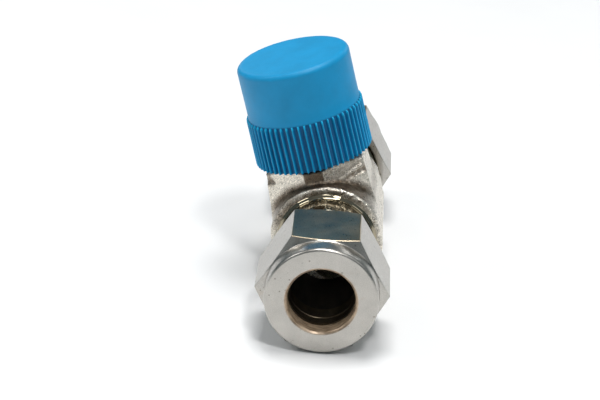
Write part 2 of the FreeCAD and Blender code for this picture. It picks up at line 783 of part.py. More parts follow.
repeat(handle, "webs", web, size["web_count"])
groove_floor = skirt - size["rib_depth"]
rib_groove = pad(handle, "rib_groove", "XY_Plane",
                 [(groove_floor, -0.22), (skirt + 0.3, -0.50), (skirt + 0.3, 0.50), (groove_floor, 0.22)],
                 skirt_high - skirt_low + 0.7, offset=skirt_low - 0.5, cut=True, reverse=True)
repeat(handle, "ribs", rib_groove, size["rib_count"])


# ---------------------------------------------------------------- tube fittings

nut_face = size["half_length"]
nut_back = nut_face - size["nut_length"]
nut_shoulder = nut_face - size["collar_length"]
collar = size["collar_radius"]
back_chamfer = size["nut_back_chamfer"]
thread_end = size["nut_thread_end"]
relief_end = size["nut_relief_end"]
nut_seat = size["nut_seat"]
seat_radius = size["nut_seat_radius"]
nut_thread_start = thread_start - size["thread_pitch"] * 1.5
front_low = size["front_low"]
front_shoulder = size["front_shoulder"]
front_high = size["front_high"]
back_low = size["back_low"]
back_shoulder = size["back_shoulder"]
back_high = size["back_high"]
front_outer = tube_bore + size["ferrule_wall"]
back_outer = front_outer - 0.04

for end, side in ENDS:
    nut = new_body(end + "_nut")
    pad(nut, end + "_nut_hexagon", "XZ_Plane", hexagon(size["nut_flats"], -size["lean_angle"]),
        size["nut_length"], offset=nut_back if side < 0 else -nut_face)
    turn_about(nut, end + "_nut_collar", along_flow(side, [
        (collar - 0.5, nut_face + 0.5),
        (collar - 0.5, nut_face),
        (collar - 0.2, nut_face - 0.12),
        (collar - 0.05, nut_face - 0.45),
        (collar, nut_shoulder),
        (collar + 2.4, nut_shoulder - 0.97),
        (collar + 2.4, nut_face + 0.5),
    ]), axis="Y_Axis", cut=True)
    turn_about(nut, end + "_nut_back_chamfer", along_flow(side, [
        (back_chamfer, nut_back),
        (back_chamfer + 2.2, nut_back + 1.1),
        (back_chamfer + 2.2, nut_back - 0.5),
        (back_chamfer, nut_back - 0.5),
    ]), axis="Y_Axis", cut=True)
    turn_about(nut, end + "_nut_bore", along_flow(side, [
        (0, nut_back - 0.5),
        (nut_thread_root + 0.2, nut_back - 0.5),
        (nut_thread_root + 0.2, nut_back + 0.3),
        (nut_thread_crest, nut_back + 1.0),
        (nut_thread_crest, thread_end),
        (nut_thread_root + 0.05, thread_end + 0.4),
        (nut_thread_root + 0.05, relief_end),
        (seat_radius, relief_end + 0.2),
        (seat_radius, nut_seat),
        (tube_bore, nut_seat + seat_radius - tube_bore),
        (tube_bore, nut_face - 0.4),
        (tube_bore + 0.4, nut_face),
        (tube_bore + 0.4, nut_face + 0.5),
        (0, nut_face + 0.5),
    ]), axis="Y_Axis", cut=True)
    thread(nut, end + "_nut_thread",
           groove_section(side, nut_thread_root, nut_thread_crest - 0.1, nut_thread_start),
           "Y_Axis", size["thread_pitch"], nut_thread_start - nut_back + 1.0, reverse=side > 0)

    front = new_body(end + "_front_ferrule")
    turn_about(front, end + "_front_ferrule_ring", along_flow(side, [
        (tube_bore, front_low),
        (tube_bore + 0.17, front_low),
        (front_outer, front_shoulder),
        (front_outer, front_high),
        (tube_bore + 0.55, front_high),
        (tube_bore, front_high - 0.6),
    ]), axis="Y_Axis")
    back = new_body(end + "_back_ferrule")
    turn_about(back, end + "_back_ferrule_ring", along_flow(side, [
        (tube_bore, back_low),
        (tube_bore + 0.12, back_low),
        (tube_bore + 0.36, back_shoulder - 0.13),
        (tube_bore + 0.36, back_shoulder),
        (back_outer, back_shoulder),
        (back_outer, back_shoulder + 1.0),
        (back_outer - 0.75, back_high),
        (tube_bore, back_high),
    ]), axis="Y_Axis")


# ---------------------------------------------------------------- checks and export

doc.recompute()
for item in doc.Objects:
    if "Invalid" in item.State or "Error" in item.State:
        raise RuntimeError("%s did not build: %s" % (item.Label, item.State))

NODES = [
    "valve_body", "bonnet_gasket", "bonnet", "lower_gland", "packing_rings", "upper_gland", "packing_bolt",
    "stem_tip", "lower_stem", "anti_rotation_pin", "thrust_ball", "stem_retaining_ring", "upper_stem",
    "handle_insert", "handle_clip", "handle",
    "inlet_nut", "inlet_front_ferrule", "inlet_back_ferrule",
    "outlet_nut", "outlet_front_ferrule", "outlet_back_ferrule",
]
os.makedirs("parts", exist_ok=True)
for label in NODES:
    node = doc.getObjectsByLabel(label)[0]
    shape = node.Shape
    if shape.isNull() or not shape.isValid() or not shape.Solids:
        raise RuntimeError("%s has no valid solid" % label)
    shape.exportStep("parts/%s.step" % label)
    box = shape.optimalBoundingBox()
    print("%-22s %d solid  %8.1f mm3  x %.2f..%.2f  y %.2f..%.2f  z %.2f..%.2f" % (
        label, len(shape.Solids), shape.Volume, box.XMin, box.XMax, box.YMin, box.YMax, box.ZMin, box.ZMax))
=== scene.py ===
import bpy
import json
import math
import numpy as np
from mathutils import Matrix, Vector


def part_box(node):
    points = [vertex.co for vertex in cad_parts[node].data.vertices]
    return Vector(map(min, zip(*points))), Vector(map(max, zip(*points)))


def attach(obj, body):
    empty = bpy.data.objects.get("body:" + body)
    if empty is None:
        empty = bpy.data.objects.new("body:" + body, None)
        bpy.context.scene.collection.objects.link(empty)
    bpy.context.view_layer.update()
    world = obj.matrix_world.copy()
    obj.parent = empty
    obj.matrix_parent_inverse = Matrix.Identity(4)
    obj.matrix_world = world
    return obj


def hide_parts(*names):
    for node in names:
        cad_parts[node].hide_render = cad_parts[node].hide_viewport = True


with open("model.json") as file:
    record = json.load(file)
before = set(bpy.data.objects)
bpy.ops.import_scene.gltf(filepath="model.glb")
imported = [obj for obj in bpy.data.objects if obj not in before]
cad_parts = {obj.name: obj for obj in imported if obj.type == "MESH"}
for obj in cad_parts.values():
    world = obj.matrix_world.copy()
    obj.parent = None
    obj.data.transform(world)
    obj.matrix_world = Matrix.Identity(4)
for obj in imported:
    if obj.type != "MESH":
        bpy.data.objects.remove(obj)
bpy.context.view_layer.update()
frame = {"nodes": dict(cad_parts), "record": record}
record = frame["record"]

# ---------------------------------------------------------------- frames
# Pieces are drawn in millimetres about the crossing of the stem axis and the flow axis:
# x across, y along the flow, z up the stem. to_row() moves them into the row frame, in metres.

MM = 0.001
PER_MM = 1000.0

joints = {joint["name"]: joint for joint in record["behaviour"]["joints"]}
STEM = Vector(joints["handle_turn"]["axis"]).normalized()
CENTRE = Vector(joints["handle_turn"]["pos_m"])
FLOW = Vector((0, 1, 0))
ACROSS = FLOW.cross(STEM).normalized()
LEAN = math.atan2(-STEM.x, STEM.z)
VALVE = Matrix((ACROSS, FLOW, STEM)).transposed()
ENDS = (("inlet", -1), ("outlet", 1))


def to_row(points):
    """Millimetres in the valve's own frame to metres in the row frame."""
    turned = np.asarray(points, float) @ np.array(VALVE).T
    return turned * MM + np.array(CENTRE)


# ---------------------------------------------------------------- mesh helpers

NORMAL_WEIGHT = 90


def make_object(name, points, faces, body, replaces=(), level=True):
    """A smooth-shaded piece that rides on a body and may replace CAD nodes."""
    mesh = bpy.data.meshes.new(name)
    mesh.from_pydata([tuple(p) for p in to_row(points)], [], [tuple(f) for f in faces])
    mesh.validate()
    mesh.update()
    mesh.polygons.foreach_set("use_smooth", [True] * len(mesh.polygons))
    piece = bpy.data.objects.new(name, mesh)
    bpy.context.scene.collection.objects.link(piece)
    if level:
        weighted = piece.modifiers.new("even_normals", "WEIGHTED_NORMAL")
        weighted.mode = "FACE_AREA_WITH_ANGLE"
        weighted.weight = NORMAL_WEIGHT
    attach(piece, body)
    if replaces:
        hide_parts(*replaces)
    return piece


def grid_faces(rings, around, closed_rings=False, flip=False):
    """Quads of a grid whose rows are closed rings; closed_rings joins the last row to the first."""
    faces = []
    last = rings if closed_rings else rings - 1
    for i in range(last):
        a = i * around
        b = ((i + 1) % rings) * around
        for j in range(around):
            k = (j + 1) % around
            quad = (a + j, a + k, b + k, b + j)
            faces.append(quad[::-1] if flip else quad)
    return faces


def full_turn(count):
    """Evenly spaced angles round a circle."""
    return np.arange(count) * 2 * math.pi / count


def flow_ring(radius, reach, side, angles):
    """A ring about the flow axis; radius and reach may vary with the angle."""
    radius = np.broadcast_to(radius, angles.shape)
    reach = np.broadcast_to(reach, angles.shape)
    return np.stack([radius * np.cos(angles), side * reach, radius * np.sin(angles)], 1)


def stem_ring(radius, height, angles):
    """A ring about the stem axis; radius and height may vary with the angle."""
    radius = np.broadcast_to(radius, angles.shape)
    height = np.broadcast_to(height, angles.shape)
    return np.stack([radius * np.cos(angles), radius * np.sin(angles), height], 1)


# ---------------------------------------------------------------- shader node helpers

WHITE = (1.0, 1.0, 1.0)


def nodes_of(name):
    """A new node material, its tree and its main shader."""
    material = bpy.data.materials.new(name)
    material.use_nodes = True
    tree = material.node_tree
    return material, tree, tree.nodes["Principled BSDF"]


def link(tree, output, socket):
    tree.links.new(output, socket)


def feed(tree, socket, value):
    """Sets a number or a colour on a socket, or links another node's output to it."""
    if isinstance(value, (int, float)):
        socket.default_value = value
    elif isinstance(value, tuple):
        socket.default_value = (value[0], value[1], value[2], 1.0)
    else:
        link(tree, value, socket)


def noise(tree, vector, scale, detail=4.0, rough=0.55):
    node = tree.nodes.new("ShaderNodeTexNoise")
    node.inputs["Scale"].default_value = scale
    node.inputs["Detail"].default_value = detail
    node.inputs["Roughness"].default_value = rough
    link(tree, vector, node.inputs["Vector"])
    return node.outputs["Fac"]


def ramp(tree, value, stops):
    """A colour ramp; each stop is a position with a grey level or a colour."""
    node = tree.nodes.new("ShaderNodeValToRGB")
    while len(node.color_ramp.elements) < len(stops):
        node.color_ramp.elements.new(0.5)
    for element, (at, colour) in zip(node.color_ramp.elements, stops):
        element.position = at
        if isinstance(colour, (int, float)):
            colour = (colour, colour, colour)
        element.color = (colour[0], colour[1], colour[2], 1.0)
    link(tree, value, node.inputs["Fac"])
    return node.outputs["Color"]


def mixed(tree, factor, first, second, blend="MIX"):
    node = tree.nodes.new("ShaderNodeMix")
    node.data_type = "RGBA"
    node.blend_type = blend
    feed(tree, node.inputs[0], factor)
    feed(tree, node.inputs[6], first)
    feed(tree, node.inputs[7], second)
    return node.outputs[2]


def tinted(tree, tone, tint):
    """A tone multiplied by another one."""
    return mixed(tree, 1.0, tone, tint, "MULTIPLY")


def maths(tree, kind, *values):
    node = tree.nodes.new("ShaderNodeMath")
    node.operation = kind
    for socket, value in zip(node.inputs, values):
        feed(tree, socket, value)
    return node.outputs[0]


def times(tree, *factors):
    """The product of two or more values."""
    product = factors[0]
    for factor in factors[1:]:
        product = maths(tree, "MULTIPLY", product, factor)
    return product


def less(tree, value, amount):
    """The first value minus the second."""
    return maths(tree, "SUBTRACT", value, amount)


def greater(tree, first, second):
    """The larger of two values."""
    return maths(tree, "MAXIMUM", first, second)


def vector_maths(tree, kind, first, second=None):
    """A vector operation on an output and, if given, a constant vector."""
    node = tree.nodes.new("ShaderNodeVectorMath")
    node.operation = kind
    link(tree, first, node.inputs[0])
    if second is not None:
        node.inputs[1].default_value = tuple(second)
    return node.outputs


def bump(tree, height, strength, distance):
    node = tree.nodes.new("ShaderNodeBump")
    node.inputs["Strength"].default_value = strength
    node.inputs["Distance"].default_value = distance
    link(tree, height, node.inputs["Height"])
    return node.outputs["Normal"]


def object_coords(tree):
    return tree.nodes.new("ShaderNodeTexCoord").outputs["Object"]


def stretched(tree, vector, factors):
    node = tree.nodes.new("ShaderNodeMapping")
    node.inputs["Scale"].default_value = factors
    link(tree, vector, node.inputs["Vector"])
    return node.outputs["Vector"]


def axes_of(tree, where):
    """The X, Y and Z outputs of a position."""
    split = tree.nodes.new("ShaderNodeSeparateXYZ")
    link(tree, where, split.inputs["Vector"])
    return split.outputs


# ---------------------------------------------------------------- where a point is, in millimetres

def flow_radius(tree, where):
    """Distance from the flow axis."""
    axes = axes_of(tree, where)
    across = times(tree, axes["X"], axes["X"])
    above = times(tree, axes["Z"], axes["Z"])
    return times(tree, maths(tree, "SQRT", maths(tree, "ADD", across, above)), PER_MM)


def flow_reach(tree, where):
    """Distance from the stem along the flow, to either side."""
    offset = less(tree, axes_of(tree, where)["Y"], CENTRE.y)
    return times(tree, maths(tree, "ABSOLUTE", offset), PER_MM)


def flat_height(tree, where):
    """Height above the flow axis in the row frame."""
    return times(tree, axes_of(tree, where)["Z"], PER_MM)


def about_stem(tree, where):
    """Distance from the stem axis and height along it."""
    shifted = vector_maths(tree, "SUBTRACT", where, CENTRE)["Vector"]
    crossed = vector_maths(tree, "CROSS_PRODUCT", shifted, STEM)["Vector"]
    length = vector_maths(tree, "LENGTH", crossed)["Value"]
    along = vector_maths(tree, "DOT_PRODUCT", shifted, STEM)["Value"]
    return times(tree, length, PER_MM), times(tree, along, PER_MM)


def across_stem(tree, where):
    """Signed distance across the valve from the stem axis."""
    sideways = vector_maths(tree, "DOT_PRODUCT", where, ACROSS)["Value"]
    return times(tree, less(tree, sideways, CENTRE.dot(ACROSS)), PER_MM)


def spot(tree, where, place, size):
    """1 inside a round spot at a place given in the valve's own frame, 0 outside it."""
    place_in_row = [float(value) for value in to_row(np.array([place], float))[0]]
    gap = vector_maths(tree, "DISTANCE", where, place_in_row)["Value"]
    return ramp(tree, times(tree, gap, PER_MM / (size * 1.6)), [(0.40, 1.0), (0.85, 0.0)])


def pits(tree, where, scale, size):
    """1 inside small scattered nicks, 0 elsewhere."""
    cells = tree.nodes.new("ShaderNodeTexVoronoi")
    cells.inputs["Scale"].default_value = scale
    link(tree, where, cells.inputs["Vector"])
    return ramp(tree, cells.outputs["Distance"], [(size * 0.6, 1.0), (size, 0.0)])


# ---------------------------------------------------------------- steel

# tint of the painted shade on the forging
PAINTED_SHADE_TINT = (0.24, 0.19, 0.15)
SHOULDER_RADIUS = 11.0
SHOULDER_REACH = 12.3
NOSE_FOOT = 10.9
LEDGE_HEIGHT = 9.9
RIM_REACH = 12.4
# the first two spots are painted shadow under the handle at the boss's left corner; the other four darken
# the foot of the right ridge
# place in the valve's frame, size in millimetres, strength
DARKENED_SPOTS = (
    ((-9.9, -5.9, 12.2), 1.3, 0.95),
    ((-9.0, -6.4, 11.9), 0.8, 0.8),
    ((6.6, -8.0, 10.6), 0.7, 0.75),
    ((7.7, -7.4, 10.8), 0.8, 0.85),
    ((8.8, -6.8, 11.0), 0.9, 0.85),
    ((9.9, -6.2, 11.2), 0.9, 0.8),
)


def forging_painted_shade(tree, where, tone):
    """Painted shade on the forging's shoulders, end faces, noses, right facet, spots and left rim."""
    height = about_stem(tree, where)[1]
    reach = flow_reach(tree, where)
    across = across_stem(tree, where)
    cloud = ramp(tree, noise(tree, where, 900.0, 4.0, 0.6), [(0.3, 0.75), (0.6, 1.0)])
    upper = ramp(tree, times(tree, less(tree, height, 3.0), 0.2), [(0.1, 0.0), (0.8, 1.0)])

    # painted shade in the valley along the shoulders and on the end faces in the gap to the nuts; the rim
    # between stays bright
    beyond = times(tree, less(tree, flow_radius(tree, where), SHOULDER_RADIUS), 0.4)
    shoulder = ramp(tree, beyond, [(0.25, 1.0), (0.72, 0.0)])
    rim_stops = [(0.05, 1.0), (0.30, 0.0), (0.68, 0.0), (0.80, 0.8)]
    rim = ramp(tree, less(tree, reach, SHOULDER_REACH), rim_stops)
    amount = times(tree, times(tree, upper, shoulder), times(tree, rim, cloud))

    # painted shade on the noses
    aside = maths(tree, "ABSOLUTE", across)
    nose_width = ramp(tree, times(tree, aside, 0.25), [(0.46, 1.0), (0.54, 0.0)])
    nose_rise = ramp(tree, less(tree, height, NOSE_FOOT), [(0.0, 0.0), (0.6, 1.0)])
    amount = greater(tree, amount, times(tree, nose_width, nose_rise, 0.95))

    # painted shade in streaks on the right facet above the ledge
    facet_stops = [(0.20, 0.0), (0.24, 0.62), (0.92, 0.62), (1.0, 0.0)]
    right_facet = ramp(tree, times(tree, across, 0.1), facet_stops)
    ledge_line = maths(tree, "MULTIPLY_ADD", across, 0.06, LEDGE_HEIGHT)
    ledge = ramp(tree, less(tree, height, ledge_line), [(0.1, 0.0), (0.5, 1.0)])
    streaky = noise(tree, stretched(tree, where, (2.0, 0.6, 1.2)), 800.0, 5.0, 0.65)
    streaks = ramp(tree, streaky, [(0.35, 0.35), (0.6, 1.0)])
    amount = greater(tree, amount, times(tree, right_facet, ledge, streaks))

    # darkened spots: painted shadow under the handle at the left corner, and a darker foot of the right
    # ridge
    for place, size, strength in DARKENED_SPOTS:
        amount = greater(tree, amount, times(tree, spot(tree, where, place, size), strength, cloud))

    # painted shade over the left part of the rim, cutting its highlight short
    leftward = maths(tree, "MULTIPLY_ADD", across, -0.1, -0.15)
    left_side = ramp(tree, leftward, [(0.05, 0.0), (0.35, 0.62)])
    on_rim = ramp(tree, less(tree, reach, RIM_REACH), [(0.0, 0.0), (0.2, 1.0)])
    left_rim = times(tree, times(tree, left_side, on_rim), times(tree, upper, cloud))
    amount = greater(tree, amount, left_rim)
    return mixed(tree, amount, tone, tinted(tree, tone, PAINTED_SHADE_TINT))


STAIN_TONE = (0.35, 0.24, 0.14)
NICK_TONE = (0.10, 0.08, 0.06)
TOP_FLAT_SHADE_TINT = (0.95, 0.82, 0.62)
TOP_FLAT_FOOT = 10.6
BORE_WALL_RADIUS = 6.4
BORE_WALL_STOPS = [(0.35, (0.22, 0.13, 0.07)), (0.62, (0.72, 0.55, 0.38))]
STEEL_BUMP = 0.5


def steel(name, colour, rough, grain, grain_height, streak=(1.0, 1.0, 1.0), stain=0.0, nicks=0.0,
          bore=False, speckle=0.12, forged=False):
    """Bare steel with grain, patches, stains and nicks; forged adds painted shade; bore adds a nut's bore
    wall of stain and painted light and a top flat with painted shade.
    """
    material, tree, shader = nodes_of(name)
    where = object_coords(tree)
    along_streaks = stretched(tree, where, streak)
    patches = noise(tree, where, 260.0, 5.0, 0.6)
    fine = noise(tree, along_streaks, grain, 6.0, 0.7)
    dim = tuple(c * 0.86 for c in colour)
    bright = tuple(min(c * 1.07, 1.0) for c in colour)
    tone = ramp(tree, patches, [(0.25, dim), (0.7, bright)])
    specks = noise(tree, along_streaks, grain * 1.6, 3.0, 0.7)
    tone = tinted(tree, tone, ramp(tree, specks, [(0.36, 1.0 - speckle), (0.64, 1.0 + speckle)]))
    height = fine
    if forged:
        tone = forging_painted_shade(tree, where, tone)
    if stain:
        spots = ramp(tree, noise(tree, where, 420.0, 8.0, 0.75), [(0.58, 0.0), (0.76, 1.0)])
        tone = mixed(tree, times(tree, spots, stain), tone, STAIN_TONE)
    if bore:
        # painted shade on the nuts' top flats: darker and warmer, toning down the cap's blue reflected in
        # them
        above = less(tree, flat_height(tree, where), TOP_FLAT_FOOT)
        top_flat_shade = ramp(tree, above, [(0.35, 0.0), (0.48, 1.0)])
        tone = mixed(tree, top_flat_shade, tone, tinted(tree, tone, TOP_FLAT_SHADE_TINT))
    if nicks:
        marks = times(tree, pits(tree, where, 620.0, 0.13), nicks)
        tone = mixed(tree, marks, tone, NICK_TONE)
        height = less(tree, fine, marks)
    shader.inputs["Metallic"].default_value = 1.0
    if bore:
        # the bore wall near the face is painted brown-gold and made less metallic: partly smeared stain,
        # partly painted light inside the mouth
        beyond = times(tree, less(tree, flow_radius(tree, where), BORE_WALL_RADIUS), 0.5)
        ring = ramp(tree, beyond, [(0.0, 1.0), (0.20, 0.85), (0.34, 0.0)])
        streaky = noise(tree, stretched(tree, where, (1.0, 5.0, 1.0)), 500.0, 6.0, 0.7)
        tone = mixed(tree, ring, tone, ramp(tree, streaky, BORE_WALL_STOPS))
        link(tree, less(tree, 1.0, times(tree, ring, 0.75)), shader.inputs["Metallic"])
    link(tree, tone, shader.inputs["Base Color"])
    spread = tree.nodes.new("ShaderNodeMapRange")
    spread.inputs["From Min"].default_value = 0.3
    spread.inputs["From Max"].default_value = 0.7
    spread.inputs["To Min"].default_value = rough[0]
    spread.inputs["To Max"].default_value = rough[1]
    link(tree, times(tree, maths(tree, "ADD", patches, fine), 0.5), spread.inputs["Value"])
    link(tree, spread.outputs["Result"], shader.inputs["Roughness"])
    link(tree, bump(tree, height, STEEL_BUMP, grain_height), shader.inputs["Normal"])
    return material


LENGTHWISE = (1.0, 6.0, 1.0)

FORGED = steel("forged_steel", (0.74, 0.69, 0.60), (0.22, 0.36), 2600.0, 0.00035,
               stain=0.30, nicks=0.35, speckle=0.40, forged=True)
NUT = steel("nut_steel", (0.475, 0.455, 0.42), (0.24, 0.40), 1500.0, 0.000009,
            streak=(3.0, 0.5, 3.0), stain=0.35, nicks=0.6, bore=True, speckle=0.16)
TURNED = steel("turned_steel", (0.60, 0.56, 0.48), (0.10, 0.20), 2200.0, 0.000004, streak=LENGTHWISE)
# the necks are the turned steel painted darker: painted shade standing in for the dark gap between nut and
# barrel that they reflect
NECK = steel("neck_steel", (0.36, 0.32, 0.235), (0.04, 0.08), 2200.0, 0.000003,
             streak=LENGTHWISE, speckle=0.05)
RING = steel("ferrule_steel", (0.17, 0.14, 0.10), (0.30, 0.50), 2200.0, 0.000008, stain=0.5)
HARD = steel("ground_steel", (0.52, 0.52, 0.52), (0.15, 0.30), 3000.0, 0.000004)
BRASS = steel("insert_brass", (0.78, 0.58, 0.26), (0.20, 0.38), 1800.0, 0.000005)
# near-black steel in the necks' tube bores: painted shade deep inside the nuts, with stains on top
BORE_SHADE = steel("bore_dark", (0.10, 0.09, 0.08), (0.35, 0.55), 1600.0, 0.000008,
             streak=(1.0, 4.0, 1.0), stain=0.3)


# ---------------------------------------------------------------- plastic

RIBS = 60
CAP_RADIUS = 11.45
CAP_TOP = 35.35
SKIRT_LOW = 14.4
SKIRT_HIGH = 24.4
SKIRT_RADIUS = 12.06
SKIRT_TAPER = 0.12
GROOVE_DEPTH = 0.68

RIB_SHADE_AND_HIGHLIGHT_STOPS = [(0.20, (0.24, 0.42, 0.52)), (0.62, (0.75, 0.85, 0.9)), (0.90, (1.7, 1.35, 1.25))]
TIP_HIGHLIGHT_TINT = (2.4, 1.75, 1.45)
GRAIN_BUMP = 0.35
GRAIN_HEIGHT = 0.00004


def rib_shading(tree, where):
    """Painted shade in the skirt's grooves and painted highlights on the ribs' ridges and upper tips."""
    reach, height = about_stem(tree, where)
    below = times(tree, less(tree, height, SKIRT_HIGH - 0.2), 2.0)
    skirt = ramp(tree, below, [(0.0, 1.0), (1.0, 0.0)])
    hollow = ramp(tree, less(tree, reach, 11.1), RIB_SHADE_AND_HIGHLIGHT_STOPS)
    proud = ramp(tree, less(tree, reach, 11.0), [(0.50, 0.0), (0.62, 1.0)])
    tips = ramp(tree, less(tree, height, SKIRT_HIGH - 0.9), [(0.15, 0.0), (0.6, 1.0)])
    hollow = mixed(tree, times(tree, proud, tips), hollow, TIP_HIGHLIGHT_TINT)
    return mixed(tree, skirt, WHITE, hollow)


def plastic(name, colour, rough, deep=0.85, gloss=0.5, ribs=False):
    """Moulded plastic: cloudy tone, fine spark-eroded grain and faint scuffs."""
    material, tree, shader = nodes_of(name)
    where = object_coords(tree)
    cloud = noise(tree, where, 180.0, 4.0, 0.6)
    grain = noise(tree, where, 3400.0, 3.0, 0.6)
    tone = ramp(tree, cloud, [(0.3, tuple(c * deep for c in colour)), (0.75, colour)])
    scratchy = noise(tree, stretched(tree, where, (1.0, 5.0, 1.0)), 300.0, 8.0, 0.8)
    scuff = ramp(tree, scratchy, [(0.66, 0.0), (0.8, 0.25)])
    tone = mixed(tree, scuff, tone, tuple(min(c * 1.3 + 0.03, 1.0) for c in colour))
    if ribs:
        # painted shade and painted highlights on the skirt's ribs
        tone = tinted(tree, tone, rib_shading(tree, where))
    link(tree, tone, shader.inputs["Base Color"])
    spread = tree.nodes.new("ShaderNodeMapRange")
    spread.inputs["To Min"].default_value = rough - 0.07
    spread.inputs["To Max"].default_value = rough + 0.09
    link(tree, grain, spread.inputs["Value"])
    link(tree, spread.outputs["Result"], shader.inputs["Roughness"])
    shader.inputs["Specular IOR Level"].default_value = gloss
    link(tree, bump(tree, grain, GRAIN_BUMP, GRAIN_HEIGHT), shader.inputs["Normal"])
    return material


AZURE = plastic("azure_plastic", (0.003, 0.30, 0.60), 0.46, gloss=0.30, ribs=True)
PTFE = plastic("ptfe", (0.86, 0.86, 0.83), 0.4, 0.95)

SLOT_MATERIALS = {
    "forged_stainless": FORGED,
    "turned_stainless": TURNED,
    "nut_stainless": NUT,
    "hard_steel": HARD,
    "insert_brass": BRASS,
    "ptfe": PTFE,
    "azure_plastic": AZURE,
}

for entry in record["subparts"]:
    node_mesh = frame["nodes"][entry["node"]].data
    node_mesh.materials.clear()
    is_ferrule = "ferrule" in entry["node"]
    node_mesh.materials.append(RING if is_ferrule else SLOT_MATERIALS[entry["material_slot"]])


# ---------------------------------------------------------------- nuts

FLATS = 22.225
CORNER_ROUND = 0.22
FACE = 40.1
NUT_LENGTH = 17.3
COLLAR_LENGTH = 3.5
COLLAR_SLOPE = 0.97 / 2.4
COLLAR_CREASE = 10.9
BACK_SLOPE = 1.1 / 2.2
BACK_RADIUS = 11.2
BORE = 6.45
THREAD_BORE = 9.6
SEAT_BORE = 8.0


def hexagon_radius(angles, across_flats, round_radius, first_corner):
    """Distance to a hexagon with rounded corners, for each angle."""
    inner = across_flats / 2.0
    away = np.abs((angles - first_corner + math.pi / 6) % (math.pi / 3) - math.pi / 6)
    flat = inner / np.cos(math.pi / 6 - away)
    centre = (inner - round_radius) / math.cos(math.pi / 6)
    limit = math.atan2(round_radius * 0.5, centre + round_radius * math.cos(math.pi / 6))
    inside = np.clip(round_radius ** 2 - (centre * np.sin(away)) ** 2, 0, None)
    arc = centre * np.cos(away) + np.sqrt(inside)
    return np.where(away < limit, arc, flat)


def hexagon_angles(first_corner, between=22, near=(0.0, 0.35, 0.7, 1.1, 1.8, 3.0)):
    """Angles that crowd round the six corners."""
    angles = []
    for k in range(6):
        corner = math.degrees(first_corner) + 60 * k
        angles += [corner + a for a in near]
        middle = np.linspace(near[-1], 60 - near[-1], between + 2)[1:-1]
        angles += [corner + a for a in middle]
        angles += [corner + 60 - a for a in near[:0:-1]]
    return np.radians(np.array(angles))


def build_nut(end, side):
    """A nut as one closed profile: bore, seat, thread bore, back chamfer, hexagon, collar and face."""
    corner = -LEAN
    angles = hexagon_angles(corner)
    hexagon = hexagon_radius(angles, FLATS, CORNER_ROUND, corner)
    back = FACE - NUT_LENGTH
    shoulder = FACE - COLLAR_LENGTH
    crease = shoulder - (hexagon - COLLAR_CREASE) * COLLAR_SLOPE
    back_crease = np.maximum(back + (hexagon - BACK_RADIUS) * BACK_SLOPE, back + 0.02)
    back_radius = np.minimum(hexagon, BACK_RADIUS)
    inside = [
        (BORE + 0.45, FACE - 0.02),
        (BORE + 0.40, FACE - 0.06),
        (BORE + 0.05, FACE - 0.38),
        (BORE, FACE - 0.5),
        (BORE, 37.2),
        (BORE + 0.1, 37.05),
        (SEAT_BORE, 35.6),
        (SEAT_BORE, 34.2),
        (THREAD_BORE, 33.7),
        (THREAD_BORE, back + 1.0),
        (9.9, back + 0.4),
        (9.9, back + 0.06),
    ]
    back_end = [
        (9.96, back),
        (back_radius - 0.12, back),
        (np.minimum(hexagon - 0.10, back_radius + 0.05), np.minimum(back + 0.05, back_crease)),
        (hexagon - 0.12, back_crease - 0.06),
        (hexagon - 0.03, back_crease),
    ]
    flanks = [
        (hexagon, back_crease + 0.12),
        (hexagon, back_crease + 0.4),
        (hexagon, back * 0.5 + crease * 0.5),
        (hexagon, crease - 0.40),
        (hexagon, crease - 0.12),
        (hexagon - 0.035, crease + 0.01),
        (hexagon - 0.14, crease + 0.055),
        (hexagon * 0.5 + 10.95 * 0.5, (crease + shoulder) / 2),
    ]
    collar = [
        (11.02, shoulder - 0.03),
        (10.93, shoulder + 0.06),
        (10.89, shoulder + 0.3),
        (10.86, FACE - 1.4),
        (10.80, FACE - 0.62),
        (10.74, FACE - 0.34),
        (10.62, FACE - 0.13),
        (10.42, FACE - 0.02),
        (10.30, FACE),
        (8.6, FACE),
        (BORE + 0.62, FACE),
        (BORE + 0.52, FACE),
    ]
    rings = inside + back_end + flanks + collar
    points = np.concatenate([flow_ring(np.asarray(r, float), np.asarray(s, float), side, angles)
                             for r, s in rings])
    faces = grid_faces(len(rings), len(angles), closed_rings=True, flip=side > 0)
    nut = make_object(end + "_nut_shell", points, faces, end + "_nut", (end + "_nut",))
    nut.data.materials.append(NUT)


for end, side in ENDS:
    build_nut(end, side)


# ---------------------------------------------------------------- handle

PER_RIB = 18
CAP_EDGE = 1.15
RIB_CROWN = 0.6
CEILING = 33.55
CAVITY = 9.9
HUB_RADIUS = 5.7
HUB_BORE = 4.45
HUB_LOW = 28.2
WEBS = 6
WEB_HALF = 0.5
QUARTER = math.pi / 2


def rib_profile(angles):
    """0 on a rib's ridge, 1 at the bottom of the groove beside it."""
    turn = (angles * RIBS / (2 * math.pi)) % 1.0 - 0.5
    across = np.abs(turn) / 0.5
    share = np.clip((across - 0.10) / 0.42, 0, 1)
    return share * share * (3 - 2 * share)


def skirt_radius(height):
    share = (height - SKIRT_LOW) / (SKIRT_HIGH - SKIRT_LOW)
    return SKIRT_RADIUS - SKIRT_TAPER * share


